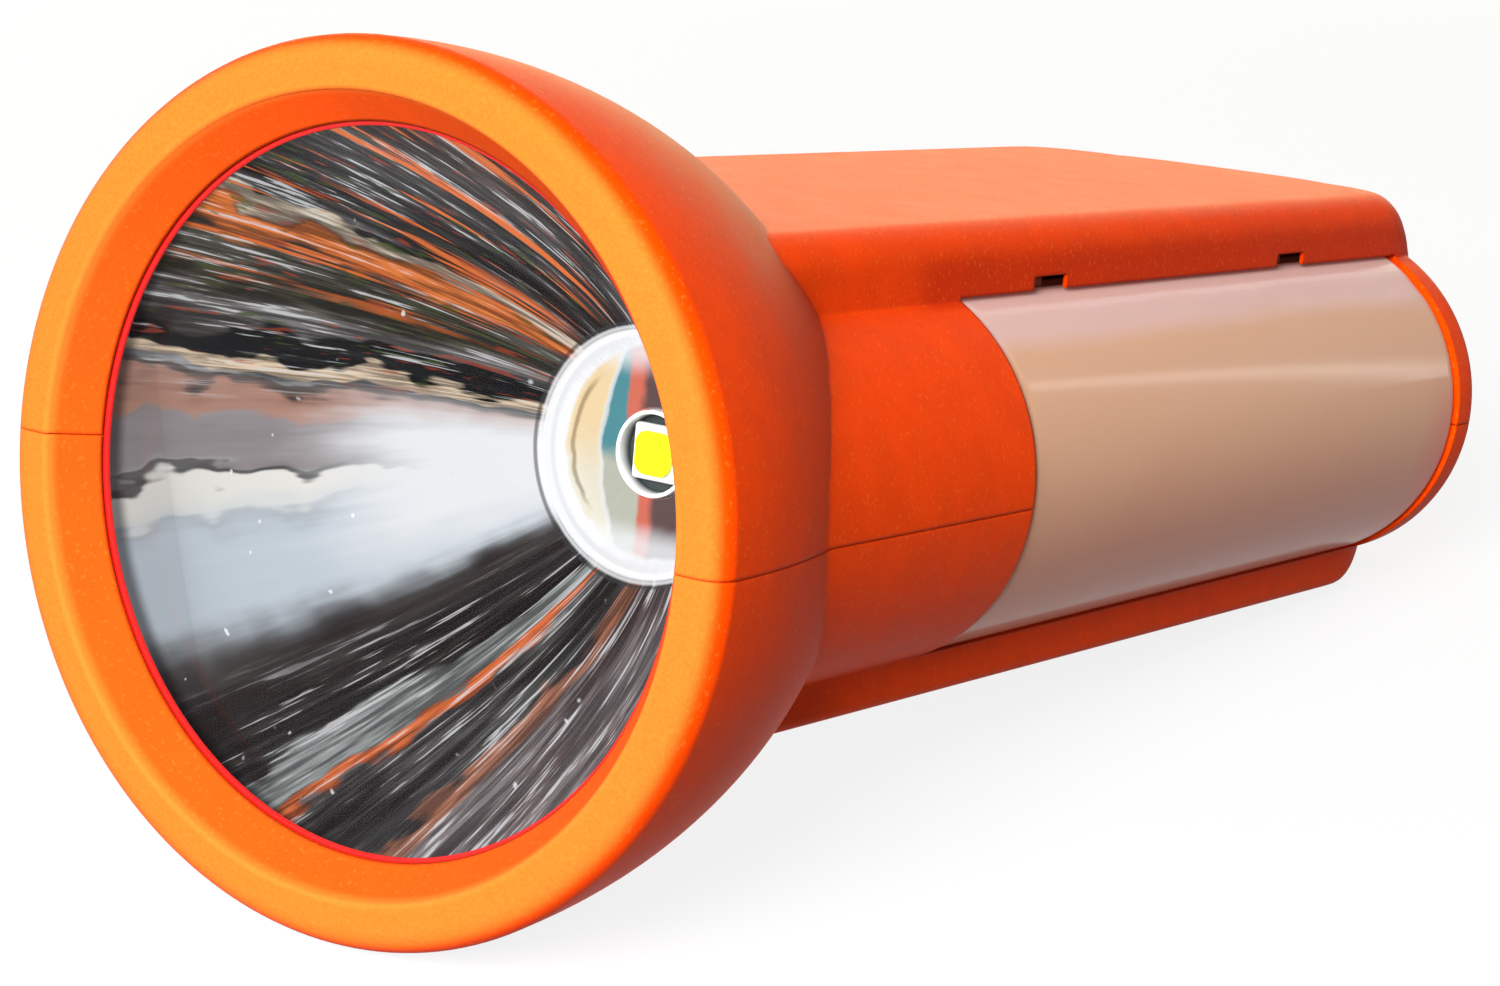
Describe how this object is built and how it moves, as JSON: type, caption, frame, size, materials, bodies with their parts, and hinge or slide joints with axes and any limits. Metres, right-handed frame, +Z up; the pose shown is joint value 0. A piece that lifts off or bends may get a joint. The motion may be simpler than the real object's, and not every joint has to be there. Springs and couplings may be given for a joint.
{
  "type": "hand-held LED searchlight",
  "caption": "Hand-held orange searchlight with a wide mirror reflector, a milky lantern panel along one flank, a slide switch and a covered charging socket.",
  "frame": {"origin": "bottom centre of the bounding box, on the floor that the light stands on", "axes": "+Z up, -Y the way the beam points, +X the flank with the lantern panel; the light stands on its rim and foot, so its beam axis is tipped up from level"},
  "size_m": [0.101, 0.2272, 0.1006],
  "materials": {
    "orange_plastic": "moulded, fine texture",
    "clear_plastic": "clear, polished",
    "red_rubber": "smooth",
    "mirror": "vacuum-metallised",
    "white_plastic": "satin",
    "phosphor": "satin",
    "milky_plastic": "translucent, satin",
    "bare_aluminium": "as extruded",
    "steel": "plated",
    "black_plastic": "moulded",
    "black_rubber": "matte",
    "foam": "closed cell",
    "green_board": "solder mask",
    "red_light": "clear tinted"
  },
  "bodies": {
    "housing": {"upper_shell": "orange_plastic", "lower_shell": "orange_plastic", "lens": "clear_plastic", "lens_gasket": "red_rubber", "reflector": "mirror", "led_collar": "white_plastic", "led_package": "white_plastic", "led_board": "white_plastic", "lamp_tray": "white_plastic", "lamp_board": "white_plastic", "led_phosphor": "phosphor", "lamp_led_1": "phosphor", "lamp_led_2": "phosphor", "lamp_led_3": "phosphor", "lamp_led_4": "phosphor", "lamp_led_5": "phosphor", "lamp_led_6": "phosphor", "lamp_led_7": "phosphor", "lamp_led_8": "phosphor", "diffuser_panel": "milky_plastic", "heat_sink": "bare_aluminium", "case_screw_1": "steel", "case_screw_2": "steel", "case_screw_3": "steel", "case_screw_4": "steel", "port_pin": "steel", "battery_terminal_positive": "steel", "battery_terminal_negative": "steel", "battery": "black_plastic", "switch_body": "black_plastic", "charge_socket": "black_plastic", "battery_pad": "foam", "control_board": "green_board", "charge_indicator": "red_light"},
    "switch": {"switch_knob": "black_plastic", "switch_slider": "black_plastic"},
    "cover": {"port_cover": "black_rubber"}
  },
  "joints": [
    {"name": "switch_slide", "type": "slide", "parent": "housing", "child": "switch", "axis": [0, 0.9934, -0.1144], "range_m": [-0.005, 0.005]},
    {"name": "cover_hinge", "type": "hinge", "parent": "housing", "child": "cover", "pos_m": [0, 0.10957, 0.04271], "axis": [1, 0, 0], "range_deg": [0, 110]}
  ]
}
